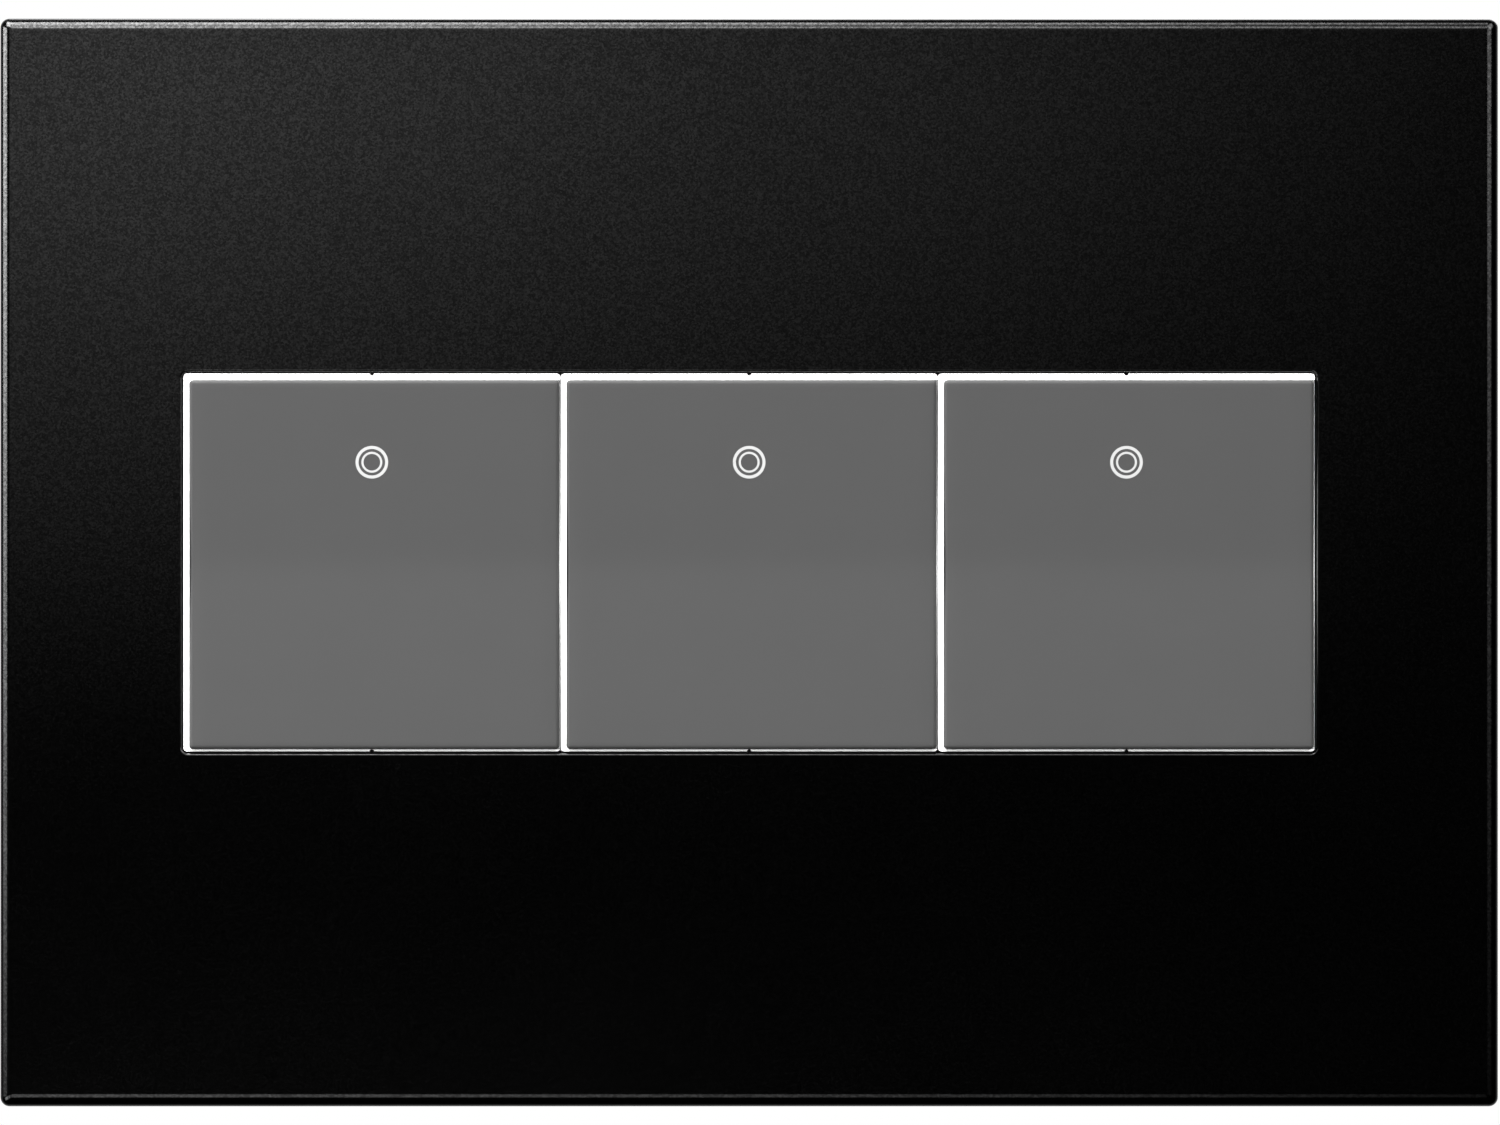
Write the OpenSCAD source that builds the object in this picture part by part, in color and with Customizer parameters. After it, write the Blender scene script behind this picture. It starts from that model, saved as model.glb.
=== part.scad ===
// Screwless three-gang wall plate with three tap switch modules.
// The wall is the plane Y = 0. The front looks towards -Y and +Z is up.
// The origin is the centre of the box screw pattern, on the wall plane.

/* [Cover] */
// Overall width of the face plate
plate_w = 179.4; // [170:0.1:200]
// Overall height of the face plate
plate_h = 130.3; // [120:0.1:140]
// How far the face plate stands out from the wall
plate_depth = 10.4; // [10:0.1:12]
// Thickness of the face plate's skirt
skirt_t = 2.2; // [1.5:0.1:3]
// Thickness of the face plate's front wall
face_t = 2; // [1.5:0.1:2.2]
// Radius of the face plate's rounded front edges
plate_edge_r = 1.6; // [0.5:0.1:2]
// Radius of the face plate's outer corners
plate_corner_r = 1.1; // [0.5:0.1:2]
// Width of the window in the face plate
window_w = 135.7; // [135.6:0.1:136.6]
// Height of the window in the face plate
window_h = 45.5; // [45.4:0.1:46]
// Radius of the window's corners
window_corner_r = 0.7; // [0.3:0.1:1]
// Radius of the rounded lip at the window's front edge
lip_r = 0.4; // [0.2:0.1:0.6]

/* [Tap switches] */
// Distance from one switch module to the next
module_pitch = 45.15; // [45.1:0.05:45.2]
// Seam between two neighbouring paddles
paddle_seam = 0.08; // [0.06:0.01:0.2]
// Height of a paddle
paddle_h = 45.2; // [45:0.1:45.2]
// Thickness of a paddle, ribs included
paddle_t = 2; // [1.6:0.1:2]
// Width of a tap plate
tap_w = 44.3; // [43:0.1:44.4]
// Height of a tap plate
tap_h = 44.2; // [43:0.1:44.3]
// Thickness of a tap plate at its top and bottom edges
tap_t = 1.2; // [1:0.1:1.4]
// How deep a tap plate is let into its paddle
tap_sink = 0.5; // [0.3:0.1:0.6]
// How far the tap plates stand out from the face plate
tap_proud = 0.6; // [0.4:0.1:0.8]
// Tap plate's offset to the right on its paddle
tap_shift_x = 0.28; // [0:0.02:0.3]
// Tap plate's offset downwards on its paddle
tap_drop = 0.25; // [0:0.05:0.3]
// Depth of the shallow fold across the middle of a tap plate
fold_depth = 0.8; // [0:0.1:0.8]
// Height of the indicator rings above the module's centre
ring_z = 12; // [8:0.5:14]
// Outer radius of the outer indicator ring
outer_ring_r = 1.95; // [1.5:0.05:2.1]
// Outer radius of the inner indicator ring
inner_ring_r = 1.25; // [0.8:0.05:1.3]
// How far a paddle's top edge travels when it is tapped
tap_travel = 1.2; // [0.6:0.1:1.2]

/* [Wall box] */
// Distance between neighbouring screw columns of the wall box
gang_pitch = 46.04; // [46:0.01:46.1]
// Distance between the top and bottom screw rows of the wall box
screw_rows = 83.34; // [83:0.01:84]
// Radius of the box screws' thread
box_screw_r = 1.75; // [1.6:0.05:1.9]
// Length of the box screws behind the wall plane
box_screw_reach = 20; // [15:1:25]
// Depth of the switch bodies behind the wall plane
housing_depth = 33; // [32:1:38]

/* [Mounting frame] */
// Width of the mounting frame
frame_w = 150; // [146:1:160]
// Height of the mounting frame
frame_h = 104; // [100:1:106]
// Thickness of the mounting frame's web
frame_t = 2; // [1.6:0.1:2]

/* [Hidden] */
$fn = 48;
eps = 0.01;
SIDES = ["left", "middle", "right"];
MODULE_PARTS = [
    "tap_plate", "paddle", "ring_lenses", "module_frame", "hinge_pin", "return_springs", "plunger",
    "push_switch", "circuit_board", "power_relay", "indicator_led", "light_guide", "rear_housing",
    "housing_screws", "terminal_clamps", "terminal_screws"
];

// Levels along Y, from the front to the wall
face_y = -plate_depth;
face_inner_y = face_y + face_t;
tap_y = face_y - tap_proud;
tap_back_y = tap_y + tap_t;
paddle_y = tap_back_y - tap_sink;
paddle_skin_t = 1.2;
paddle_skin_y = paddle_y + paddle_skin_t;
paddle_back_y = paddle_y + paddle_t;
press_room = 0.4;
body_y = paddle_back_y + tap_travel + press_room;
web_y = -frame_t;
board_y = 4;
board_t = 1.6;

// Cover
pry_notch = [12, 1.4];
carrier_t = 1.6;
carrier_back_y = face_inner_y + carrier_t;
carrier_rim_y = -3;
carrier_play = 0.4;
carrier_w = plate_w - 2 * skirt_t - carrier_play;
carrier_h = plate_h - 2 * skirt_t - carrier_play;
carrier_wall = 1.2;
collar_gap = 1;
collar_wall = 1.5;
collar_depth = 1.4;
arm_gap = 0.6;
arm_t = 1.6;
arm_w = 12;
arm_x = 60;
arm_back_y = -0.6;
arm_bead = 0.35;
bead_y = [-1.6, -0.9];
carrier_rib_x = 30;
carrier_rib_t = 1.2;
carrier_rib_y = -5.6;

// Paddle and hinge
paddle_w = module_pitch - paddle_seam;
paddle_rib = 1.2;
pin_r = 0.75;
pin_running_r = pin_r + 0.05;
pin_y = body_y;
pin_z = -20.3;
lug_r = 1.7;
lug_x = 15.7;
lug_w = 3.4;
spring_x = 11;
spring_z = ring_z;
spring_r = 2.5;
spring_wire = 0.4;
spring_seat_r = 2.9;
spring_floor_y = -2.8;
plunger_r = 2;
plunger_z = 4;
plunger_gap = 0.15;
plunger_back_y = -0.8;
boss_wall = 0.8;
light_hole_r = 2.2;
light_boss_r = 3.2;
light_guide_r = 1.5;
light_guide_collar = [2.5, 1];
ring_line = [0.36, 0.25];
ring_depth = 0.9;
tap_edge_r = 0.5;
notch_r = 0.25;

// Module frame and rear housing
body_w = 44.4;
body_wall = 2;
body_front_t = 1.6;
body_corner_r = 0.8;
housing_w = 40.4;
housing_wall = 1.5;
housing_corner_r = 1;
cavity_back_y = 21;
trough_y = -3.8;
trough_top_z = pin_z + 2.6;
trough_wall = 1.2;
ear_w = 1.6;
ear_h = 3.6;
ear_front = 1.3;
pin_half = 20.4;
screw_post = 5;
post_xz = housing_w / 2 - screw_post / 2;
post_screw_r = 1;
post_screw_end_y = body_y + 1;
post_screw_play = 0.05;
post_counterbore = [2.2, 2];
switch_w = 9;
switch_y = -1.6;
board_w = 37;
board_corner = 4.5;
relay = [20, 13];
relay_z = -6;
led_r = 1.5;
led_flange_r = 1.9;
led_dome_y = 0.5;
ledge = [3, 16];
clamp_w = 7.8;
clamp_t = 1.2;
clamp_corner_r = 0.6;
terminal_xz = 10;
terminal_pocket = 9;
terminal_floor_y = housing_depth - 7.5;
terminal_screw_r = 1.75;
terminal_screw_reach = 3.5;

// Mounting frame and screws. A screw head is its radius and its height.
frame_window = 41;
frame_window_r = 0.8;
frame_corner_r = 3;
frame_flange = 1.6;
frame_flange_y = -5;
frame_rib_t = 1.4;
screw_clear_r = 2.2;
screw_pad_r = 5;
screw_pad_t = 0.6;
screw_neck_r = 1.4;
screw_slot = 0.7;
box_screw_head = [3.4, 2];
post_screw_head = [2, 1.4];
terminal_screw_head = [3.2, 2];

// Rectangle with round corners, centred
module rounded_rectangle(w, h, r) {
    square([w - 2 * r, h], center = true);
    square([w, h - 2 * r], center = true);
    for (sx = [-1, 1], sz = [-1, 1])
        translate([sx * (w / 2 - r), sz * (h / 2 - r)]) circle(r);
}

// Extrudes a shape drawn in the XZ plane from one Y level back to another
module slab(front, back) {
    translate([0, back, 0])
        rotate([90, 0, 0])
            linear_extrude(back - front) children();
}

// Upright block with round corners, between two Y levels
module block(w, h, front, back, r = 0.5) {
    slab(front, back) rounded_rectangle(w, h, r);
}

// Plain block between two Y levels
module plain_block(w, h, front, back) {
    slab(front, back) square([w, h], center = true);
}

// Round bar along Y between two Y levels
module bar(r, front, back) {
    translate([0, back, 0])
        rotate([90, 0, 0]) cylinder(h = back - front, r = r);
}

// Side profile with round front corners: depth runs along the first axis
module soft_profile(front, back, size, r) {
    translate([front + r, -size / 2]) square([back - front - r, size]);
    translate([front, -size / 2 + r]) square([back - front, size - 2 * r]);
    for (s = [-1, 1])
        translate([front + r, s * (size / 2 - r)]) circle(r);
}

// Block with rounded front edges (radius r) and rounded upright corners
module soft_block(w, h, front, back, r, corner_r) {
    intersection() {
        block(w, h, front, back, corner_r);
        translate([0, 0, -h / 2])
            linear_extrude(h) rotate(90) mirror([0, 1]) soft_profile(front, back, w, r);
        translate([-w / 2, 0, 0])
            rotate([90, 0, 90]) linear_extrude(w) soft_profile(front, back, h, r);
    }
}

// Bar of waste that rounds one straight edge of the window's lip
module lip_waste(length) {
    translate([-length / 2, 0, 0])
        rotate([90, 0, 90])
            linear_extrude(length)
                difference() {
                    translate([face_y - 1, -1]) square([1 + lip_r, 1 + lip_r]);
                    translate([face_y + lip_r, lip_r]) circle(lip_r);
                    translate([face_y + lip_r, -2]) square([2, 2 + 2 * lip_r]);
                    translate([face_y - 2, lip_r]) square([2 + 2 * lip_r, 2]);
                }
}

// Moves a child to the place of one switch module
module at_module(i) {
    translate([(i - 1) * module_pitch, 0, 0]) children();
}

// Repeats a child at both ends of the screw columns
module at_box_screws() {
    for (column = [-1:1], row = [-1, 1])
        translate([column * gang_pitch, 0, row * screw_rows / 2]) children();
}

// Repeats a child at the four corner posts of a housing
module at_posts() {
    for (sx = [-1, 1], sz = [-1, 1])
        translate([sx * post_xz, 0, sz * post_xz]) children();
}

// Repeats a child at the wire terminals numbered in the list
module at_terminals(numbers) {
    for (n = numbers)
        translate([(n % 2 == 0 ? -1 : 1) * terminal_xz, 0, (n < 2 ? 1 : -1) * terminal_xz])
            children();
}

// Pan head screw along Y: the head's underside is at seat, the tip points towards +Y
module screw(head, shaft_r, seat, tip) {
    difference() {
        bar(head[0], seat - head[1], seat);
        plain_block(head[0] * 1.3, screw_slot, seat - head[1] - 1, seat - head[1] * 0.45);
        plain_block(screw_slot, head[0] * 1.3, seat - head[1] - 1, seat - head[1] * 0.45);
    }
    bar(shaft_r, seat - head[1] * 0.3, tip);
}

// The same screw with its head at the back and its tip towards the front
module rear_screw(head, shaft_r, seat, tip) {
    mirror([0, 1, 0]) screw(head, shaft_r, -seat, -tip);
}

// Screw of a wire terminal, seated on its clamp
module terminal_screw() {
    rear_screw(
        terminal_screw_head, terminal_screw_r,
        terminal_floor_y + clamp_t, terminal_floor_y - terminal_screw_reach
    );
}

module face_plate() {
    color("#151516")
        difference() {
            soft_block(plate_w, plate_h, face_y, 0, plate_edge_r, plate_corner_r);
            plain_block(plate_w - 2 * skirt_t, plate_h - 2 * skirt_t, face_inner_y, 1);
            block(window_w, window_h, face_y - 1, 0, window_corner_r);
            for (turn = [0, 180]) {
                rotate([0, turn, 0]) translate([0, 0, -window_h / 2]) mirror([0, 0, 1])
                    lip_waste(window_w - lip_r);
                rotate([0, turn + 90, 0]) translate([0, 0, -window_w / 2]) mirror([0, 0, 1])
                    lip_waste(window_h - lip_r);
            }
            // pry notch in the lower rim
            translate([0, 0, -plate_h / 2])
                plain_block(pry_notch[0], 3 * skirt_t, -pry_notch[1], 1);
        }
}

// The carrier's window, grown by a margin
module carrier_window(margin, front, back) {
    grown = 2 * (collar_gap + margin);
    block(window_w + grown, window_h + grown, front, back);
}

module plate_carrier() {
    color("#202022") {
        difference() {
            union() {
                block(carrier_w, carrier_h, face_inner_y, carrier_back_y);
                block(carrier_w, carrier_h, carrier_back_y - eps, carrier_rim_y);
            }
            plain_block(
                carrier_w - 2 * carrier_wall, carrier_h - 2 * carrier_wall, carrier_back_y, 1
            );
            carrier_window(0, face_y, 1);
        }
        // collar round the window
        difference() {
            carrier_window(collar_wall, carrier_back_y - eps, carrier_back_y + collar_depth);
            carrier_window(0, face_y, 1);
        }
        // grip arms that run along the mounting frame's top and bottom edges
        for (x = [-arm_x, 0, arm_x], s = [-1, 1])
            translate([x, 0, s * (frame_h / 2 + arm_gap + arm_t / 2)]) {
                plain_block(arm_w, arm_t, carrier_back_y - eps, arm_back_y);
                translate([0, 0, -s * arm_t / 2])
                    plain_block(arm_w, 2 * arm_bead, bead_y[0], bead_y[1]);
            }
        // ribs between the collar and the wall of the carrier
        rib_from = window_h / 2 + collar_gap + collar_wall;
        rib_to = carrier_h / 2 - carrier_wall;
        for (x = [-carrier_rib_x, carrier_rib_x], s = [-1, 1])
            translate([x, 0, s * (rib_from + rib_to) / 2])
                plain_block(
                    carrier_rib_t, rib_to - rib_from + 2 * eps, carrier_back_y - eps, carrier_rib_y
                );
    }
}

module mounting_frame() {
    color("#c9cbc8")
        difference() {
            union() {
                block(frame_w, frame_h, web_y, 0, frame_corner_r);
                difference() {
                    block(frame_w, frame_h, frame_flange_y, web_y + eps, frame_corner_r);
                    block(
                        frame_w - 2 * frame_flange, frame_h - 2 * frame_flange, face_y, 1,
                        frame_corner_r - frame_flange
                    );
                }
                // stiffening ribs along the window row
                for (s = [-1, 1])
                    translate([0, 0, s * (body_w / 2 + 2)])
                        plain_block(
                            frame_w - 2 * frame_flange, frame_rib_t, frame_flange_y, web_y + eps
                        );
                at_box_screws() bar(screw_pad_r, web_y - screw_pad_t, web_y + eps);
            }
            for (i = [0:2])
                at_module(i) block(frame_window, frame_window, face_y, 1, frame_window_r);
            at_box_screws() bar(screw_clear_r, face_y, 1);
        }
}

module box_screws() {
    color("#b8bab9")
        at_box_screws() {
            // undercut neck through the frame, then the thread
            screw(box_screw_head, screw_neck_r, web_y - screw_pad_t, eps);
            bar(box_screw_r, 0, box_screw_reach);
        }
}

module ground_screws() {
    color("#2f7d46")
        for (i = [0:2])
            at_module(i) at_terminals([3]) terminal_screw();
}

// Solid between the folded front of a tap plate and its flat back
module tap_solid() {
    intersection() {
        soft_block(tap_w, tap_h, tap_y, tap_back_y, tap_edge_r, tap_edge_r);
        translate([-tap_w / 2, 0, 0])
            rotate([90, 0, 90])
                linear_extrude(tap_w)
                    polygon([
                        [tap_y, tap_h / 2], [tap_y + fold_depth, 0], [tap_y, -tap_h / 2],
                        [tap_back_y, -tap_h / 2], [tap_back_y, tap_h / 2]
                    ]);
    }
}

// The two ring shapes round the indicator, through the depth of the lenses
module ring_tubes() {
    translate([-tap_shift_x, 0, ring_z + tap_drop])
        for (k = [0, 1]) {
            r = [outer_ring_r, inner_ring_r][k];
            difference() {
                bar(r, tap_y - 1, tap_y + ring_depth);
                bar(r - ring_line[k], tap_y - 2, tap_y + ring_depth + 1);
            }
        }
}

module tap_plate() {
    color("#676767")
        translate([tap_shift_x, 0, -tap_drop])
            difference() {
                tap_solid();
                ring_tubes();
            }
}

module ring_lenses() {
    color("#f4f4f2")
        translate([tap_shift_x, 0, -tap_drop])
            intersection() {
                tap_solid();
                ring_tubes();
            }
}

module paddle() {
    color("#f2f2f0")
        difference() {
            union() {
                block(paddle_w, paddle_h, paddle_y, paddle_skin_y, 0.4);
                // rim and ribs behind the skin
                difference() {
                    block(paddle_w, paddle_h, paddle_skin_y - eps, paddle_back_y, 0.4);
                    plain_block(
                        paddle_w - 2 * paddle_rib, paddle_h - 2 * paddle_rib, paddle_y, 0
                    );
                }
                for (x = [-6, 6])
                    translate([x, 0, 0])
                        plain_block(1, paddle_h - 2, paddle_skin_y - eps, paddle_back_y);
                for (x = [-spring_x, spring_x])
                    translate([x, 0, spring_z])
                        bar(spring_seat_r + boss_wall, paddle_skin_y - eps, paddle_back_y);
                translate([0, 0, plunger_z])
                    bar(plunger_r + boss_wall, paddle_skin_y - eps, paddle_back_y);
                translate([0, 0, ring_z]) bar(light_boss_r, paddle_skin_y - eps, paddle_back_y);
                // hinge lugs
                for (x = [-lug_x, lug_x])
                    translate([x - lug_w / 2, 0, pin_z])
                        rotate([90, 0, 90])
                            linear_extrude(lug_w) {
                                translate([paddle_skin_y - eps, -lug_r])
                                    square([pin_y - paddle_skin_y, 2 * lug_r]);
                                translate([pin_y, 0]) circle(lug_r);
                            }
            }
            for (x = [-spring_x, spring_x])
                translate([x, 0, spring_z]) bar(spring_seat_r, paddle_skin_y, 0);
            translate([0, 0, ring_z]) bar(light_hole_r, -20, 0);
            translate([-paddle_w / 2, pin_y, pin_z])
                rotate([0, 90, 0]) cylinder(h = paddle_w, r = pin_running_r);
            // bed of the tap plate, open at the right where the rim would be too thin
            translate([tap_shift_x, 0, -tap_drop]) {
                block(tap_w, tap_h, -20, tap_back_y, tap_edge_r);
                translate([tap_w / 2, 0, 0])
                    plain_block(2 * tap_edge_r, tap_h, -20, tap_back_y);
            }
            // small moulding notches in the rim
            for (s = [-1, 1])
                translate([0, 0, s * paddle_h / 2]) bar(notch_r, -20, 0);
        }
}

module module_frame() {
    color("#3a3b3d")
        difference() {
            union() {
                difference() {
                    block(body_w, body_w, body_y, web_y, body_corner_r);
                    plain_block(
                        body_w - 2 * body_wall, body_w - 2 * body_wall,
                        body_y + body_front_t, 0
                    );
                }
                // floor of the hinge trough
                translate([0, 0, (trough_top_z - body_w / 2) / 2])
                    plain_block(body_w, trough_top_z + body_w / 2, trough_y, web_y);
                translate([0, 0, trough_top_z + trough_wall / 2])
                    plain_block(body_w - body_wall, trough_wall, body_y + eps, web_y);
                // spring pockets, plunger guide and screw posts
                for (x = [-spring_x, spring_x])
                    translate([x, 0, spring_z])
                        bar(spring_seat_r + 1.1, body_y + eps, spring_floor_y + 0.8);
                translate([0, 0, plunger_z]) bar(plunger_r + 1.5, body_y + eps, -2.6);
                at_posts() plain_block(screw_post, screw_post, body_y + eps, web_y);
            }
            translate([0, 0, (trough_top_z - body_w / 2) / 2 - 1])
                plain_block(2 * pin_half, trough_top_z + body_w / 2 + 2, body_y - 1, trough_y);
            for (x = [-spring_x, spring_x])
                translate([x, 0, spring_z]) bar(spring_seat_r, body_y - 1, spring_floor_y);
            translate([0, 0, plunger_z]) bar(plunger_r + 0.08, body_y - 1, 1);
            translate([0, 0, ring_z]) bar(light_guide_r, body_y - 1, 1);
            at_posts() bar(post_screw_r + post_screw_play, post_screw_end_y - 0.5, 1);
        }
    // ears that hold the hinge pin
    color("#3a3b3d")
        for (s = [-1, 1])
            translate([s * (pin_half - ear_w / 2), 0, pin_z])
                difference() {
                    plain_block(ear_w + eps, ear_h, pin_y - ear_front, trough_y + eps);
                    translate([-ear_w, pin_y, 0])
                        rotate([0, 90, 0]) cylinder(h = 2 * ear_w, r = pin_r);
                }
}

module hinge_pin() {
    color("#c4c6c8")
        translate([-pin_half, pin_y, pin_z])
            rotate([0, 90, 0]) cylinder(h = 2 * pin_half, r = pin_r);
}

module return_springs() {
    color("#9da0a3")
        for (x = [-spring_x, spring_x])
            translate([x, 0, spring_z])
                difference() {
                    bar(spring_r, paddle_skin_y, spring_floor_y);
                    bar(spring_r - spring_wire, -20, 0);
                }
}

module plunger() {
    color("#e4e2d8")
        translate([0, 0, plunger_z])
            bar(plunger_r, paddle_back_y + plunger_gap, plunger_back_y);
}

module push_switch() {
    color("#26282b")
        translate([0, 0, plunger_z])
            difference() {
                block(switch_w, switch_w, switch_y, board_y);
                bar(plunger_r + 0.1, -3, 1);
            }
}

module circuit_board() {
    color("#1f6b45")
        difference() {
            plain_block(board_w, board_w, board_y, board_y + board_t);
            for (sx = [-1, 1], sz = [-1, 1])
                translate([sx * board_w / 2, 0, sz * board_w / 2])
                    plain_block(2 * board_corner, 2 * board_corner, 0, 9);
        }
}

module power_relay() {
    color("#e6e6e0")
        translate([0, 0, relay_z]) block(relay[0], relay[1], board_y + board_t, cavity_back_y - 1);
}

module indicator_led() {
    color("#e8f0f4")
        translate([0, 0, ring_z]) {
            bar(led_r, led_dome_y, board_y);
            translate([0, led_dome_y, 0]) sphere(led_r);
            bar(led_flange_r, board_y - 1, board_y);
        }
}

module light_guide() {
    color("#dfe9ee")
        translate([0, 0, ring_z]) {
            bar(light_guide_r, paddle_back_y + 0.4, -1.2);
            bar(
                light_guide_collar[0],
                body_y + body_front_t, body_y + body_front_t + light_guide_collar[1]
            );
        }
}

module rear_housing() {
    color("#232427")
        difference() {
            block(housing_w, housing_w, web_y, housing_depth, housing_corner_r);
            difference() {
                plain_block(
                    housing_w - 2 * housing_wall, housing_w - 2 * housing_wall,
                    web_y - 1, cavity_back_y
                );
                at_posts() plain_block(screw_post, screw_post, -9, housing_depth);
                // ledges under the circuit board
                for (s = [-1, 1])
                    translate([s * (housing_w / 2 - housing_wall), 0, 0])
                        plain_block(ledge[0], ledge[1], board_y + board_t, housing_depth);
            }
            at_posts() bar(post_screw_r + 0.1, -9, housing_depth + 1);
            at_posts() bar(post_counterbore[0], housing_depth - post_counterbore[1], housing_depth + 1);
            // wire terminals, open to the back and to the nearest side
            for (n = [0:3])
                at_terminals([n])
                    translate([0, 0, (n < 2 ? 1 : -1) * terminal_xz / 2])
                        plain_block(
                            terminal_pocket, terminal_pocket + terminal_xz,
                            terminal_floor_y, housing_depth + 1
                        );
            at_terminals([0:3])
                bar(terminal_screw_r, terminal_floor_y - terminal_screw_reach, housing_depth);
        }
}

module housing_screws() {
    color("#aeb1b4")
        at_posts()
            rear_screw(
                post_screw_head, post_screw_r, housing_depth - post_counterbore[1], post_screw_end_y
            );
}

module terminal_clamps() {
    color("#c79a3e")
        at_terminals([0:3])
            difference() {
                block(
                    clamp_w, clamp_w, terminal_floor_y, terminal_floor_y + clamp_t, clamp_corner_r
                );
                bar(terminal_screw_r, 0, 99);
            }
}

module terminal_screws() {
    color("#d0a548")
        at_terminals([0:2]) terminal_screw();
}

face_plate();
plate_carrier();
mounting_frame();
box_screws();
ground_screws();
for (i = [0:2])
    at_module(i) {
        tap_plate();
        paddle();
        ring_lenses();
        module_frame();
        hinge_pin();
        return_springs();
        plunger();
        push_switch();
        circuit_board();
        power_relay();
        indicator_led();
        light_guide();
        rear_housing();
        housing_screws();
        terminal_clamps();
        terminal_screws();
    }
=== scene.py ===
"""Looks of a screwless wall plate with tap switches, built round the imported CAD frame."""
import itertools
import math

import bmesh
import bpy
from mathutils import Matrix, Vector


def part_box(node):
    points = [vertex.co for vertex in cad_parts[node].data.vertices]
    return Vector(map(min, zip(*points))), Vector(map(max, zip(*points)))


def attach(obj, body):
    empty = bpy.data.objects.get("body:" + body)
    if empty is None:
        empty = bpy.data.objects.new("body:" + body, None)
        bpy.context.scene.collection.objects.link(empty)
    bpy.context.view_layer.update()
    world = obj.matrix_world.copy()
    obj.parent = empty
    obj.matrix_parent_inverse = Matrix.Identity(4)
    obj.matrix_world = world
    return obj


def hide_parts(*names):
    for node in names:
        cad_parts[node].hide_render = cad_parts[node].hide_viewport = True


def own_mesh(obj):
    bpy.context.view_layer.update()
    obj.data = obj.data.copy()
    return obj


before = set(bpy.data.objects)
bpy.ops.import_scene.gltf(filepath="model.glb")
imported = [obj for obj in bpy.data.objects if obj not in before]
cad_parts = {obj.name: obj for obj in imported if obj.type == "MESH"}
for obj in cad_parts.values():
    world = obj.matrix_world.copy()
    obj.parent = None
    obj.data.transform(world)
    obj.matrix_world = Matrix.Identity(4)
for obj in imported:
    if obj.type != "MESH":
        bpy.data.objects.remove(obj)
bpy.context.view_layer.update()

MM = 0.001
SIDES = ("left", "middle", "right")
SCENE = bpy.context.scene
WELD = 1e-7

# ---------------------------------------------------------------- places from the frame
plate_low, plate_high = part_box("face_plate")
PADDLES = {side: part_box(f"paddle_{side}") for side in SIDES}
TAPS = {side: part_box(f"tap_plate_{side}") for side in SIDES}
MODULE_X = {side: (PADDLES[side][0].x + PADDLES[side][1].x) / 2 for side in SIDES}
RING_Z = sum(corner.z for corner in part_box("ring_lenses_middle")) / 2


# ---------------------------------------------------------------- node materials
class Shader:
    """A material's node tree, with short calls for the nodes that the surfaces here are made of."""

    def __init__(self, name, colour, rough, metallic=0.0, **sockets):
        self.material = bpy.data.materials.new(name)
        self.material.use_nodes = True
        self.tree = self.material.node_tree
        self.bsdf = self.tree.nodes["Principled BSDF"]
        self.bsdf.inputs["Base Color"].default_value = (*colour, 1)
        self.bsdf.inputs["Roughness"].default_value = rough
        self.bsdf.inputs["Metallic"].default_value = metallic
        for socket, value in sockets.items():
            self.bsdf.inputs[socket.replace("_", " ")].default_value = value
        self.place = self.node("ShaderNodeTexCoord").outputs["Object"]

    def node(self, kind, inputs=None, **settings):
        node = self.tree.nodes.new(kind)
        for name, value in settings.items():
            setattr(node, name, value)
        for name, value in (inputs or {}).items():
            self.feed(node.inputs[name], value)
        return node

    def feed(self, socket, value):
        if isinstance(value, bpy.types.NodeSocket):
            self.tree.links.new(value, socket)
        else:
            socket.default_value = value

    def stretched(self, scale):
        """The surface's own coordinates, stretched along its axes."""
        return self.node("ShaderNodeMapping", {"Vector": self.place, "Scale": scale}).outputs["Vector"]

    def noise(self, scale, detail, rough=0.5, at=None):
        inputs = {"Vector": at or self.place, "Scale": scale, "Detail": detail, "Roughness": rough}
        return self.node("ShaderNodeTexNoise", inputs).outputs["Fac"]

    def math(self, operation, first, second):
        return self.node("ShaderNodeMath", {0: first, 1: second}, operation=operation).outputs[0]

    def spread(self, value, low, high):
        """Maps value from 0..1 to low..high."""
        inputs = {"Value": value, "To Min": low, "To Max": high}
        return self.node("ShaderNodeMapRange", inputs).outputs["Result"]

    def blend(self, factor, first, second):
        node = self.node("ShaderNodeMix", data_type="RGBA")
        for name, value in (("Factor", factor), ("A", first), ("B", second)):
            socket = next(s for s in node.inputs if s.name == name and s.enabled)
            value = (*value, 1) if isinstance(value, tuple) and len(value) == 3 else value
            self.feed(socket, value)
        return next(s for s in node.outputs if s.enabled)

    def colour(self, value):
        """Feeds the base colour."""
        self.feed(self.bsdf.inputs["Base Color"], value)

    def rough(self, *parts):
        """Feeds the roughness with the sum of its parts."""
        total = parts[0]
        for part in parts[1:]:
            total = self.math("ADD", total, part)
        self.feed(self.bsdf.inputs["Roughness"], total)

    def bump(self, height, depth, strength):
        inputs = {"Height": height, "Distance": depth, "Strength": strength}
        self.feed(self.bsdf.inputs["Normal"], self.node("ShaderNodeBump", inputs).outputs["Normal"])


def tints(colour, patch):
    """A colour, darker and lighter by a share."""
    return tuple(c * (1 - patch) for c in colour), tuple(min(1, c * (1 + patch)) for c in colour)


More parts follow.
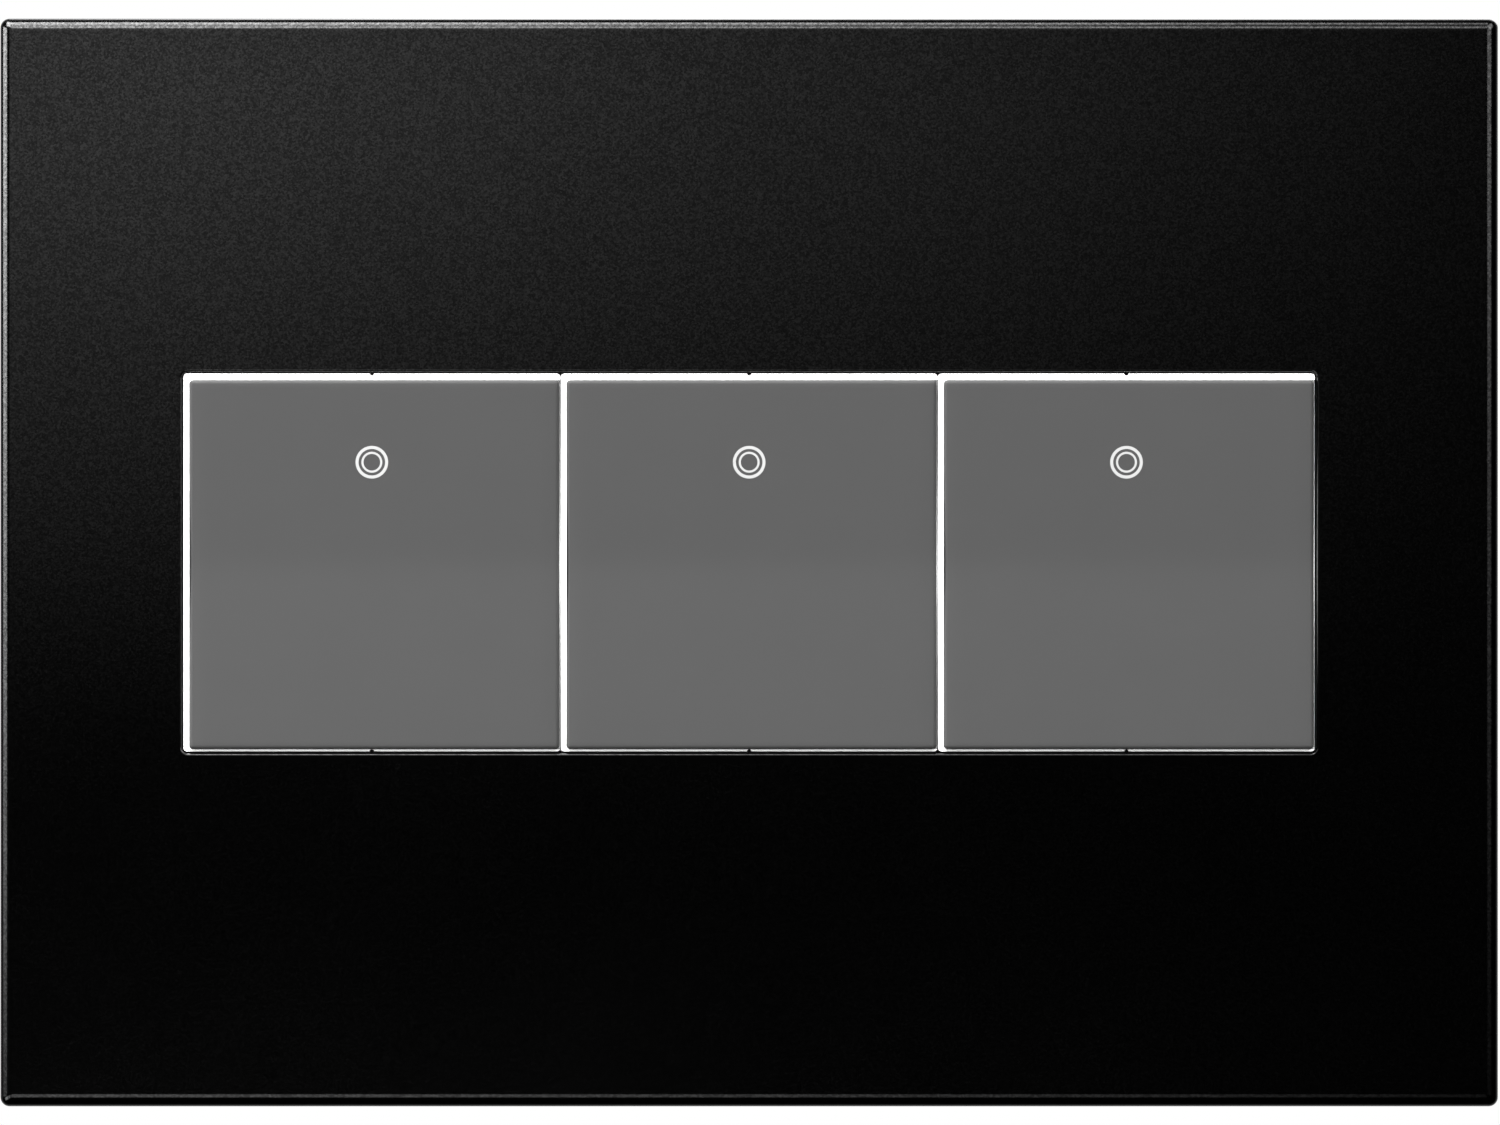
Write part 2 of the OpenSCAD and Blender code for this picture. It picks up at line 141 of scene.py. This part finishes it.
def satin_black():
    """Satin black metallic paint: every grain is a cell with a brightness and a gloss of its own."""
    s = Shader("satin_black", (0.024, 0.024, 0.024), 0.16, 1.0)
    cells = s.node("ShaderNodeTexVoronoi", {"Vector": s.place, "Scale": 5200}).outputs["Color"]
    grain = s.node("ShaderNodeSeparateColor", {"Color": cells}).outputs
    sparkle = s.math("POWER", grain["Red"], 1.5)
    bright = s.spread(s.math("ADD", sparkle, s.spread(s.noise(25, 3), -0.1, 0.1)), 0.015, 0.041)
    grey = {"Red": bright, "Green": bright, "Blue": bright}
    s.colour(s.node("ShaderNodeCombineColor", grey).outputs["Color"])
    s.rough(s.spread(grain["Green"], 0.15, 0.17), s.spread(s.noise(60, 3), -0.01, 0.01))
    s.bump(s.noise(4200, 2), 0.006 * MM, 0.5)
    return s.material


def moulded(name, colour, rough, grain=2600, depth=0.01 * MM, patch=0.06, gloss=0.5):
    """Moulded plastic: fine eroded grain, slow changes of tone and gloss."""
    s = Shader(name, colour, rough, Specular_IOR_Level=gloss)
    tone = s.noise(90, 4, 0.6)
    s.colour(s.blend(tone, *tints(colour, patch)))
    s.rough(s.spread(s.noise(700, 3), rough - 0.05, rough + 0.05), s.spread(tone, -0.03, 0.03))
    s.bump(s.noise(grain, 3, 0.6), depth, 0.6)
    return s.material


def metal(name, colour, rough, streak=(1, 1, 1)):
    """Plated or stamped metal: fine streaks and slow tarnish."""
    s = Shader(name, colour, rough, 1.0)
    lines = s.noise(1400, 3, 0.6, s.stretched(streak))
    tone = s.noise(160, 4, 0.6)
    s.colour(s.blend(tone, *tints(colour, 0.12)))
    s.rough(s.spread(lines, rough - 0.07, rough + 0.07), s.spread(tone, -0.05, 0.05))
    s.bump(lines, 0.006 * MM, 0.5)
    return s.material


def clear(name, colour):
    """Clear moulded acrylic or epoxy, of refractive index 1.49."""
    s = Shader(name, colour, 0.06, Transmission_Weight=1.0, IOR=1.49)
    s.rough(s.spread(s.noise(800, 2), 0.03, 0.12))
    s.bump(s.noise(300, 2), 0.004 * MM, 0.4)
    return s.material


def solder_mask():
    """Circuit board: green mask over copper tracks, with a little gloss."""
    s = Shader("solder_mask", (0.012, 0.13, 0.06), 0.32)
    bricks = {"Vector": s.place, "Scale": 260, "Mortar Size": 0.035}
    tracks = s.node("ShaderNodeTexBrick", bricks, offset=0.37).outputs["Fac"]
    s.colour(s.blend(tracks, (0.008, 0.1, 0.045), (0.03, 0.22, 0.09)))
    s.bump(tracks, 0.02 * MM, 0.5)
    s.rough(s.spread(s.noise(900, 2), 0.25, 0.4))
    return s.material


# Base colours suit the strong lights below: a narrow white rim has to come out white.
MATERIALS = {
    "cover_black": satin_black(),
    "carrier_black": moulded("carrier_black", (0.012, 0.012, 0.013), 0.5),
    "tap_grey": moulded("tap_grey", (0.0395, 0.0395, 0.0395), 0.42, 3000, 0.004 * MM, 0.02, 0.08),
    "rim_white": moulded("rim_white", (0.88, 0.88, 0.88), 0.4, 3000, 0.004 * MM, 0.01),
    "lens_white": moulded("lens_white", (0.3, 0.3, 0.3), 0.3, 3000, 0.003 * MM, 0.01),
    "frame_grey": moulded("frame_grey", (0.36, 0.365, 0.36), 0.5, 1800, 0.02 * MM),
    "module_grey": moulded("module_grey", (0.045, 0.046, 0.05), 0.5),
    "housing_black": moulded("housing_black", (0.02, 0.02, 0.022), 0.48, 1800, 0.02 * MM),
    "zinc_steel": metal("zinc_steel", (0.56, 0.57, 0.58), 0.3),
    "spring_steel": metal("spring_steel", (0.45, 0.46, 0.48), 0.28),
    "clamp_brass": metal("clamp_brass", (0.72, 0.5, 0.2), 0.32, (1, 1, 6)),
    "ground_green": metal("ground_green", (0.04, 0.26, 0.1), 0.35),
    "board_green": solder_mask(),
    "switch_black": moulded("switch_black", (0.02, 0.02, 0.022), 0.4),
    "relay_case": moulded("relay_case", (0.75, 0.75, 0.72), 0.35),
    "led_clear": clear("led_clear", (0.85, 0.93, 1.0)),
    "guide_clear": clear("guide_clear", (0.9, 0.95, 0.97)),
    "plunger_ivory": moulded("plunger_ivory", (0.78, 0.75, 0.66), 0.35),
}


# ---------------------------------------------------------------- building pieces
def clean(mesh):
    """Joins points that coincide and turns all faces outwards."""
    bm = bmesh.new()
    bm.from_mesh(mesh)
    bmesh.ops.remove_doubles(bm, verts=bm.verts, dist=WELD)
    bmesh.ops.recalc_face_normals(bm, faces=bm.faces)
    bm.to_mesh(mesh)
    bm.free()


def mesh_of(name, verts, faces):
    mesh = bpy.data.meshes.new(name)
    mesh.from_pydata([tuple(v) for v in verts], [], faces)
    clean(mesh)
    return mesh


def add_piece(name, mesh, body, slot, node, sharp):
    """A new piece that rides on a CAD body and stands for a CAD node.

    Edges that turn by more than sharp degrees stay sharp.
    """
    clean(mesh)
    mesh.shade_smooth()
    mesh.set_sharp_from_angle(angle=math.radians(sharp))
    mesh.materials.clear()
    mesh.materials.append(MATERIALS[slot])
    piece = bpy.data.objects.new(name, mesh)
    SCENE.collection.objects.link(piece)
    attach(piece, body)
    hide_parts(node)
    return piece


def keep_node(node, slot, bevel, pierced):
    """Shows a CAD node with its own shape, soft edges and a proper material.

    A pierced node has openings in its flat faces. It keeps its CAD triangles, as merging them could
    close an opening.
    """
    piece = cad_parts[node]
    mesh = piece.data
    if "custom_normal" in mesh.attributes:
        mesh.attributes.remove(mesh.attributes["custom_normal"])
    mesh.shade_smooth()
    mesh.materials.clear()
    mesh.materials.append(MATERIALS[slot])
    weld = piece.modifiers.new("weld", "WELD")
    weld.merge_threshold = 0.002 * MM
    if not pierced:
        flat = piece.modifiers.new("flat_faces", "DECIMATE")
        flat.decimate_type = "DISSOLVE"
        flat.angle_limit = math.radians(0.6)
    edge = piece.modifiers.new("soft_edges", "BEVEL")
    edge.width = bevel
    edge.segments = 2
    edge.limit_method = "ANGLE"
    edge.angle_limit = math.radians(30)
    edge.miter_outer = "MITER_ARC"
    edge.use_clamp_overlap = True
    edge.harden_normals = True


def loft(rings, closed=False, capped=False):
    """Points and faces of a skin through rings of equal length.

    closed joins the last ring to the first; capped fills the first and the last.
    """
    count = len(rings[0])
    verts = [v for ring in rings for v in ring]
    faces = []
    for r in range(len(rings) if closed else len(rings) - 1):
        here, there = r * count, (r + 1) % len(rings) * count
        for i in range(count):
            j = (i + 1) % count
            faces.append((here + i, here + j, there + j, there + i))
    if capped:
        faces.append(tuple(range(count))[::-1])
        faces.append(tuple(range(len(verts) - count, len(verts))))
    return verts, faces


def rounded_ring(half_w, half_h, radius, y, steps=8):
    """Points round a rectangle with round corners, in the plane at depth y."""
    ring = []
    corners = ((1, 1, 0), (-1, 1, 90), (-1, -1, 180), (1, -1, 270))
    for sx, sz, start in corners:
        for k in range(steps + 1):
            a = math.radians(start + 90 * k / steps)
            x = sx * (half_w - radius) + radius * math.cos(a)
            z = sz * (half_h - radius) + radius * math.sin(a)
            ring.append(Vector((x, y, z)))
    return ring


def lathe(profile, x, z, steps, twist=None):
    """Skin of a round solid along Y, round the axis at x and z.

    profile lists (radius, y). twist, given a radius, a depth and a share of a turn, says how much
    the radius changes there.
    """
    rings = []
    for radius, y in profile:
        ring = []
        for k in range(steps):
            a = 2 * math.pi * k / steps
            r = radius + (twist(radius, y, k / steps) if twist else 0)
            ring.append(Vector((x + r * math.cos(a), y, z + r * math.sin(a))))
        rings.append(ring)
    return loft(rings, capped=True)


def joined(skins):
    """Several skins as one list of points and one of faces."""
    verts, faces = [], []
    for v, f in skins:
        faces += [tuple(i + len(verts) for i in face) for face in f]
        verts += v
    return verts, faces


def cut(piece_mesh, cutter_mesh):
    """The first mesh less the second, as a new mesh."""
    body = bpy.data.objects.new("body_to_cut", piece_mesh)
    knife = bpy.data.objects.new("cutter", cutter_mesh)
    for o in (body, knife):
        SCENE.collection.objects.link(o)
    modifier = body.modifiers.new("cut", "BOOLEAN")
    modifier.object = knife
    modifier.operation = "DIFFERENCE"
    modifier.solver = "EXACT"
    bpy.context.view_layer.update()
    graph = bpy.context.evaluated_depsgraph_get()
    result = bpy.data.meshes.new_from_object(body.evaluated_get(graph), depsgraph=graph)
    for o in (body, knife):
        bpy.data.objects.remove(o)
    return result


def box_skin(low, high):
    corners = [Vector(corner) for corner in itertools.product(*zip(low, high))]
    faces = [(0, 1, 3, 2), (4, 6, 7, 5), (0, 4, 5, 1), (2, 3, 7, 6), (0, 2, 6, 4), (1, 5, 7, 3)]
    return corners, faces


# ---------------------------------------------------------------- face plate
EDGE_R = 1.6 * MM
CORNER_R = 1.1 * MM
LIP_R = 0.4 * MM
RIM_R = 0.25 * MM
WINDOW_R = 0.7 * MM
INNER_R = 0.1 * MM
SKIRT = 2.2 * MM
FACE_T = 2.0 * MM
WINDOW_GAP_X = 0.165 * MM
WINDOW_GAP_Z = 0.15 * MM
NOTCH_W = 12 * MM
NOTCH_DEPTH = 1.4 * MM


def arc(count):
    """Pairs (sine, cosine) from 0 to 90 degrees."""
    turns = [math.pi / 2 * k / count for k in range(count + 1)]
    return [(math.sin(a), math.cos(a)) for a in turns]


def face_plate():
    """The shell in front: rounded skirt and face, the window with its lip, and a pry notch at the bottom."""
    half_w, half_h = plate_high.x, plate_high.z
    front, back = plate_low.y, plate_high.y
    window_w = PADDLES["right"][1].x + WINDOW_GAP_X
    window_h = PADDLES["middle"][1].z + WINDOW_GAP_Z
    rings = []
    # outside of the skirt, from the rim to the front face
    for s, c in arc(3):
        inset = RIM_R * (1 - s)
        rings.append(rounded_ring(half_w - inset, half_h - inset, CORNER_R - inset, back - RIM_R * (1 - c)))
    for s, c in arc(10):
        inset = EDGE_R * (1 - c)
        radius = max(CORNER_R * (1 - inset / EDGE_R), 0.05 * MM)
        rings.append(rounded_ring(half_w - inset, half_h - inset, radius, front + EDGE_R * (1 - s)))
    # round the lip and through the window
    for s, c in arc(6):
        out = LIP_R * (1 - s)
        rings.append(rounded_ring(window_w + out, window_h + out, WINDOW_R + out, front + LIP_R * (1 - c)))
    inner = front + FACE_T
    rings.append(rounded_ring(window_w, window_h, WINDOW_R, inner))
    # behind the face and down the inside of the skirt
    rings.append(rounded_ring(half_w - SKIRT, half_h - SKIRT, INNER_R, inner))
    for s, c in arc(3):
        inset = SKIRT - RIM_R * s
        rings.append(rounded_ring(half_w - inset, half_h - inset, INNER_R, back - RIM_R * (1 - s)))
    shell = mesh_of("face_plate_shell", *loft(rings, closed=True))
    past = 1 * MM
    notch_low = -NOTCH_W / 2, back - NOTCH_DEPTH, -half_h - past
    notch_high = NOTCH_W / 2, back + past, -half_h + SKIRT + past
    notched = cut(shell, mesh_of("pry_notch", *box_skin(notch_low, notch_high)))
    piece = add_piece("face_plate_shell", notched, "cover", "cover_black", "face_plate", 50)
    normals = piece.modifiers.new("face_normals", "WEIGHTED_NORMAL")
    normals.keep_sharp = True


# ---------------------------------------------------------------- tap plates and rings
TAP_R = 0.5 * MM
FOLD = 0.8 * MM
VALLEY = 1.6 * MM
RING_DEPTH = 0.9 * MM
RING_PROUD = 0.01 * MM
OUTER_RING, OUTER_LINE = 1.95 * MM, 0.36 * MM
INNER_RING, INNER_LINE = 1.25 * MM, 0.25 * MM
RINGS = ((OUTER_RING - OUTER_LINE, OUTER_RING), (INNER_RING - INNER_LINE, INNER_RING))


def fold_depth(z, half_h):
    """How far the front of a tap plate lies behind its upper edge: two faint slopes and a soft valley."""
    return FOLD * (1 - math.hypot(z, VALLEY) / math.hypot(half_h, VALLEY))


def tap_lines(half, extra):
    """Grid lines across a tap plate: close together on its rounded edges, wider between them."""
    inner = half - TAP_R
    edge = [inner + TAP_R * s for s, _ in arc(6)]
    middle = [inner * k / extra for k in range(-extra, extra + 1)]
    return [-v for v in reversed(edge[1:])] + middle + edge[1:]


def tap_mesh():
    """A tap plate at the origin of its own module, with the ring grooves cut in."""
    low, high = TAPS["middle"]
    half_w, half_h = (high.x - low.x) / 2, (high.z - low.z) / 2
    mid_x, mid_z = (high.x + low.x) / 2 - MODULE_X["middle"], (high.z + low.z) / 2
    lines_x, lines_z = tap_lines(half_w, 12), tap_lines(half_h, 44)
    verts, faces = [], []
    for z in lines_z:
        for x in lines_x:
            # how far into the rounded edge, from 0 to 1, with a square corner turned into a disc
            a = max(0, (abs(x) - (half_w - TAP_R)) / TAP_R)
            b = max(0, (abs(z) - (half_h - TAP_R)) / TAP_R)
            px = a * math.sqrt(1 - b * b / 2)
            pz = b * math.sqrt(1 - a * a / 2)
            gx = math.copysign(half_w - TAP_R + px * TAP_R, x) if a else x
            gz = math.copysign(half_h - TAP_R + pz * TAP_R, z) if b else z
            drop = TAP_R * (1 - math.sqrt(max(0, 1 - px * px - pz * pz)))
            depth = max(fold_depth(gz, half_h), 0) + drop
            verts.append(Vector((mid_x + gx, low.y + depth, mid_z + gz)))
    nx, nz = len(lines_x), len(lines_z)
    for j in range(nz - 1):
        for i in range(nx - 1):
            n = j * nx + i
            faces.append((n, n + 1, n + nx + 1, n + nx))
    # sides and back
    border = list(range(nx)) + [j * nx + nx - 1 for j in range(1, nz)]
    border += [(nz - 1) * nx + i for i in range(nx - 2, -1, -1)] + [j * nx for j in range(nz - 2, 0, -1)]
    start = len(verts)
    for n in border:
        verts.append(Vector((verts[n].x, high.y, verts[n].z)))
    for k in range(len(border)):
        m = (k + 1) % len(border)
        faces.append((border[k], start + k, start + m, border[m]))
    faces.append(tuple(range(start, start + len(border))))
    front, back = low.y - 1 * MM, low.y + RING_DEPTH + 0.02 * MM
    grooves = joined([ring_skin(r_in, r_out, back, lambda z: front) for r_in, r_out in RINGS])
    return cut(mesh_of("tap_plate", verts, faces), mesh_of("grooves", *grooves))


def ring_skin(r_in, r_out, back, front, steps=96):
    """A tube round the indicator's axis, from the depth that front gives for a height to the back."""
    rings = []
    for radius, at_front in ((r_in, True), (r_out, True), (r_out, False), (r_in, False)):
        ring = []
        for k in range(steps):
            a = 2 * math.pi * k / steps
            z = RING_Z + radius * math.sin(a)
            ring.append(Vector((radius * math.cos(a), front(z) if at_front else back, z)))
        rings.append(ring)
    return loft(rings, closed=True)


def ring_mesh():
    """The two ring lenses, a hair in front of the tap plate's surface."""
    low, high = TAPS["middle"]
    half_h, mid_z = (high.z - low.z) / 2, (high.z + low.z) / 2

    def surface(z):
        return low.y + fold_depth(z - mid_z, half_h) - RING_PROUD

    skins = [ring_skin(r_in, r_out, low.y + RING_DEPTH, surface) for r_in, r_out in RINGS]
    return mesh_of("ring_lenses", *joined(skins))


def tap_plates():
    """Each module's tap plate and ring lenses, as shifted copies of one of each."""
    plate, lenses = tap_mesh(), ring_mesh()
    for side in SIDES:
        shift = Vector((MODULE_X[side], 0, 0))
        for base, mesh, slot in (("tap_plate", plate, "tap_grey"), ("ring_lenses", lenses, "lens_white")):
            copy = mesh.copy()
            for v in copy.vertices:
                v.co += shift
            add_piece(f"{base}_{side}_cap", copy, f"tap_{side}", slot, f"{base}_{side}", 40)


# ---------------------------------------------------------------- round parts
TIP_R = 0.05 * MM


def plungers():
    """Ivory rods with round ends."""
    chamfer = 0.3 * MM
    for side in SIDES:
        node = f"plunger_{side}"
        low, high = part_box(node)
        r, z = (high.x - low.x) / 2, (high.z + low.z) / 2
        profile = [(TIP_R, low.y), (r - 2 * chamfer, low.y), (r - chamfer, low.y + chamfer / 2)]
        profile += [(r, low.y + chamfer), (r, high.y - chamfer), (r - chamfer, high.y), (TIP_R, high.y)]
        rod = mesh_of(f"{node}_rod", *lathe(profile, MODULE_X[side], z, 40))
        add_piece(f"{node}_rod", rod, node, "plunger_ivory", node, 35)


HEAD_R = 3.4 * MM
HEAD_T = 2 * MM
NECK_R = 1.4 * MM
THREAD_R = 1.75 * MM
PITCH = 0.8 * MM
GROOVE = 0.28 * MM
CROSS_HALF_W = 2.1 * MM
CROSS_HALF_T = 0.35 * MM
CROSS_DEPTH = 1.1 * MM


def thread(radius, y, turn):
    """How much the thread takes off a screw's radius, by depth and share of a turn."""
    if radius < NECK_R or radius > THREAD_R or y < 0:
        return 0
    phase = (y / PITCH - turn) % 1
    return -GROOVE * abs(2 * phase - 1)


def box_screws():
    """Six pan head screws with a cross recess, an undercut neck and a rolled thread."""
    low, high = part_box("box_screws")
    seat = low.y + HEAD_T
    rings_per_pitch = 8
    # the head's crown as shares of its radius and depths behind its top
    crown = ((0.6, 0.08 * MM), (0.85, 0.3 * MM), (0.96, 0.7 * MM), (1, 1.2 * MM))
    profile = [(TIP_R, low.y)] + [(share * HEAD_R, low.y + depth) for share, depth in crown]
    profile += [(HEAD_R, seat - 0.15 * MM), (HEAD_R - 0.15 * MM, seat), (NECK_R, seat), (NECK_R, 0)]
    turns = int((high.y - 1 * MM) / PITCH)
    profile += [(THREAD_R, k * PITCH / rings_per_pitch) for k in range(turns * rings_per_pitch + 1)]
    profile += [(1.2 * MM, high.y - 0.1 * MM), (1.1 * MM, high.y), (TIP_R, high.y)]
    blank = mesh_of("screw_blank", *lathe(profile, 0, 0, 32, thread))
    long, short, top, floor = CROSS_HALF_W, CROSS_HALF_T, low.y - 1 * MM, low.y + CROSS_DEPTH
    recess = joined([
        box_skin((-long, top, -short), (long, floor, short)),
        box_skin((-short, top, -long), (short, floor + 0.01 * MM, long)),
    ])
    screw = cut(blank, mesh_of("recess", *recess))
    faces = [tuple(f.vertices) for f in screw.polygons]
    skins = []
    for x in (low.x + HEAD_R, (low.x + high.x) / 2, high.x - HEAD_R):
        for z in (low.z + HEAD_R, high.z - HEAD_R):
            skins.append(([v.co + Vector((x, 0, z)) for v in screw.vertices], faces))
    screws = mesh_of("box_screws_threaded", *joined(skins))
    add_piece("box_screws_threaded", screws, "wall_frame", "zinc_steel", "box_screws", 45)


WIRE_R = 0.2 * MM
COILS = 6


def coil_skin(x, z, front, back, coil_r):
    """A coil spring along Y. Its end turns lie nearly flat and its middle ones are open."""
    rings = []
    per_turn, wire_steps = 28, 8
    for k in range(COILS * per_turn + 1):
        t = k / (COILS * per_turn)
        ease = t - math.sin(2 * math.pi * t) / (2 * math.pi) * 0.75
        y = front + WIRE_R + (back - front - 2 * WIRE_R) * ease
        a = 2 * math.pi * COILS * t
        ring = []
        for n in range(wire_steps):
            b = 2 * math.pi * n / wire_steps
            r = coil_r + WIRE_R * math.cos(b)
            ring.append(Vector((x + r * math.cos(a), y + WIRE_R * math.sin(b), z + r * math.sin(a))))
        rings.append(ring)
    return loft(rings, capped=True)


def springs():
    """Two coil springs behind each paddle."""
    for side in SIDES:
        node = f"return_springs_{side}"
        low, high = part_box(node)
        coil_r, z = (high.z - low.z) / 2 - WIRE_R, (high.z + low.z) / 2
        places = low.x + coil_r + WIRE_R, high.x - coil_r - WIRE_R
        coils = mesh_of(f"{node}_coils", *joined([coil_skin(x, z, low.y, high.y, coil_r) for x in places]))
        piece = add_piece(f"{node}_coils", coils, "wall_frame", "spring_steel", node, 60)
        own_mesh(piece)


# ---------------------------------------------------------------- CAD nodes that keep their shape
# slot, edge rounding in mm, and whether the node is pierced, for the nodes that each module has
MODULE_NODES = {
    "paddle": ("rim_white", 0.12, True),
    "module_frame": ("module_grey", 0.1, True),
    "hinge_pin": ("zinc_steel", 0.1, False),
    "push_switch": ("switch_black", 0.2, False),
    "circuit_board": ("board_green", 0.05, False),
    "power_relay": ("relay_case", 0.3, False),
    "indicator_led": ("led_clear", 0.05, False),
    "light_guide": ("guide_clear", 0.1, False),
    "rear_housing": ("housing_black", 0.3, True),
    "housing_screws": ("zinc_steel", 0.08, False),
    "terminal_clamps": ("clamp_brass", 0.1, False),
    "terminal_screws": ("clamp_brass", 0.1, False),
}


def kept_nodes():
    """Every CAD node that no new piece stands for."""
    keep_node("plate_carrier", "carrier_black", 0.2 * MM, True)
    keep_node("mounting_frame", "frame_grey", 0.3 * MM, True)
    keep_node("ground_screws", "ground_green", 0.12 * MM, False)
    for side in SIDES:
        for base, (slot, bevel, pierced) in MODULE_NODES.items():
            keep_node(f"{base}_{side}", slot, bevel * MM, pierced)


face_plate()
tap_plates()
plungers()
box_screws()
springs()
kept_nodes()


# ---------------------------------------------------------------- stage, light and camera
FLOOR_DROP = 60 * MM
FLOOR_BACK = 1.1
FLOOR_SIDE = 1.2
CAMERA_AWAY = 1.5
CAMERA_X = 0.1 * MM
PLATE_SHARE = 0.99933


def stage():
    """A white floor below the plate.

    It starts under the plate's face, so that no light comes up from in front of it.
    """
    level = plate_low.z - FLOOR_DROP
    corners = [(-FLOOR_SIDE, plate_low.y, level), (FLOOR_SIDE, plate_low.y, level)]
    corners += [(FLOOR_SIDE, FLOOR_BACK, level), (-FLOOR_SIDE, FLOOR_BACK, level)]
    mesh = bpy.data.meshes.new("floor")
    mesh.from_pydata(corners, [], [(0, 1, 2, 3)])
    paper = Shader("floor_paper", (0.9, 0.9, 0.9), 0.8)
    paper.rough(paper.spread(paper.noise(30, 2), 0.75, 0.85))
    mesh.materials.append(paper.material)
    floor = bpy.data.objects.new("floor", mesh)
    SCENE.collection.objects.link(floor)
    floor.visible_glossy = False


def add_node(tree, kind, *inputs, **settings):
    """A node of a light's or the world's tree, with its first inputs set or linked."""
    node = tree.nodes.new(kind)
    for name, value in settings.items():
        setattr(node, name, value)
    for socket, value in zip(node.inputs, inputs):
        if isinstance(value, bpy.types.NodeSocket):
            tree.links.new(value, socket)
        else:
            socket.default_value = value
    return node


def compute(tree, operation, first, second):
    return add_node(tree, "ShaderNodeMath", first, second, operation=operation).outputs[0]


def soft_box(name, place, target, size, radiance, **ramps):
    """A softbox of a given brightness, facing a target. Cameras don't see it.

    ramps may give, for its width X and its height Y, where its brightness is nil, where it is full
    (both as shares of that side, from the left or the bottom) and the power of the curve between.
    """
    data = bpy.data.lights.new(name, "AREA")
    data.shape = "RECTANGLE"
    data.size, data.size_y = size
    data.energy = radiance * math.pi * size[0] * size[1]
    light = bpy.data.objects.new(name, data)
    light.location = place
    light.rotation_mode = "QUATERNION"
    light.rotation_quaternion = (Vector(target) - Vector(place)).to_track_quat("-Z", "Y")
    light.visible_camera = False
    SCENE.collection.objects.link(light)
    if not ramps:
        return
    data.use_nodes = True
    tree = data.node_tree
    spot = add_node(tree, "ShaderNodeNewGeometry").outputs["Parametric"]
    sides = add_node(tree, "ShaderNodeSeparateXYZ", spot).outputs
    strength = 1.0
    for axis, (nil, full, power) in ramps.items():
        ramp = add_node(tree, "ShaderNodeMapRange", sides[axis], nil, full).outputs["Result"]
        strength = compute(tree, "MULTIPLY", compute(tree, "POWER", ramp, power), strength)
    tree.links.new(strength, tree.nodes["Emission"].inputs["Strength"])


def front_box():
    """The softbox that the paint mirrors: parallel to the plate, fading out to the right and downwards."""
    away = 0.2
    # edges and full brightness in metres on the plate, where the camera sees them mirrored
    left, right, bottom, top = -0.2, 0.125, -0.022, 0.17
    full_x, full_z, power = -0.068, 0.06, 1.4
    grow = 1 + away / CAMERA_AWAY
    size = (right - left) * grow, (top - bottom) * grow
    place = (left + right) / 2 * grow, plate_low.y - away, (bottom + top) / 2 * grow
    fade_x = 1, (full_x - left) / (right - left), power
    fade_y = 0, (full_z - bottom) / (top - bottom), power
    soft_box("front_box", place, (place[0], 0, place[2]), size, 1.2, X=fade_x, Y=fade_y)


def world_light():
    """White behind the object, soft light all round, and a dark room in front for the paint to mirror."""
    world = bpy.data.worlds.new("studio")
    SCENE.world = world
    world.use_nodes = True
    tree = world.node_tree
    back = tree.nodes["Background"]
    back.inputs["Color"].default_value = (1, 1, 1, 1)

    def mix(factor, first, second):
        off = compute(tree, "MULTIPLY", first, compute(tree, "SUBTRACT", 1.0, factor))
        on = compute(tree, "MULTIPLY", second, factor)
        return compute(tree, "ADD", off, on)

    way = add_node(tree, "ShaderNodeSeparateXYZ", add_node(tree, "ShaderNodeTexCoord").outputs["Generated"])
    # what glossy surfaces mirror: a nearly black room in front of the object, half of white far behind it
    span = way.outputs["Y"], 0.2, 0.9, 0.002, 0.5
    room = add_node(tree, "ShaderNodeMapRange", *span, interpolation_type="SMOOTHSTEP").outputs["Result"]
    path = add_node(tree, "ShaderNodeLightPath").outputs
    strength = mix(path["Is Glossy Ray"], 0.2, room)
    tree.links.new(mix(path["Is Camera Ray"], strength, 1.0), back.inputs["Strength"])


def camera():
    """Square in front of the plate, which fills nearly the whole width of the picture."""
    data = bpy.data.cameras.new("camera")
    data.sensor_width = 36
    data.lens = data.sensor_width * CAMERA_AWAY * PLATE_SHARE / (plate_high.x - plate_low.x)
    data.clip_start, data.clip_end = 0.05, 50
    view = bpy.data.objects.new("camera", data)
    view.location = (CAMERA_X, plate_low.y - CAMERA_AWAY, 0)
    view.rotation_euler = (math.pi / 2, 0, 0)
    SCENE.collection.objects.link(view)
    SCENE.camera = view


stage()
world_light()
front_box()
soft_box("top_box", (-0.3, -0.4, 0.95), (-0.1, 0, 0), (1.1, 0.9), 36, X=(0.92, 0.4, 1.3))
soft_box("high_box", (0, -0.77, 0.64), (0, 0, 0), (0.7, 0.26), 20, X=(1, 0.3, 1), Y=(-0.2, 1, 1))
soft_box("key_box", (0.6, -0.5, 0.65), (0, 0, 0), (0.7, 0.7), 8)
soft_box("left_box", (-0.7, -0.12, 0.06), (0, 0, 0.06), (0.45, 0.34), 20, Y=(-0.1, 0.6, 2))
soft_box("low_left_box", (-0.45, -0.5, -0.35), (0, 0, 0), (0.3, 0.3), 2.8)
soft_box("low_side_box", (-0.62, -0.3, -0.4), (0, 0, 0), (0.3, 0.3), 9)
soft_box("right_box", (0.4, -0.4, 0.04), (0.09, 0, 0.04), (0.3, 0.38), 6, Y=(-0.05, 0.7, 4))
soft_box("low_box", (-0.05, -0.58, -0.3), (-0.05, 0, -0.06), (0.4, 0.28), 2.4, X=(1, 0.375, 1.3))
soft_box("back_box", (0.3, 1.0, 0.7), (0, 0, 0), (0.9, 0.9), 3)
camera()
SCENE.view_settings.view_transform = "Standard"
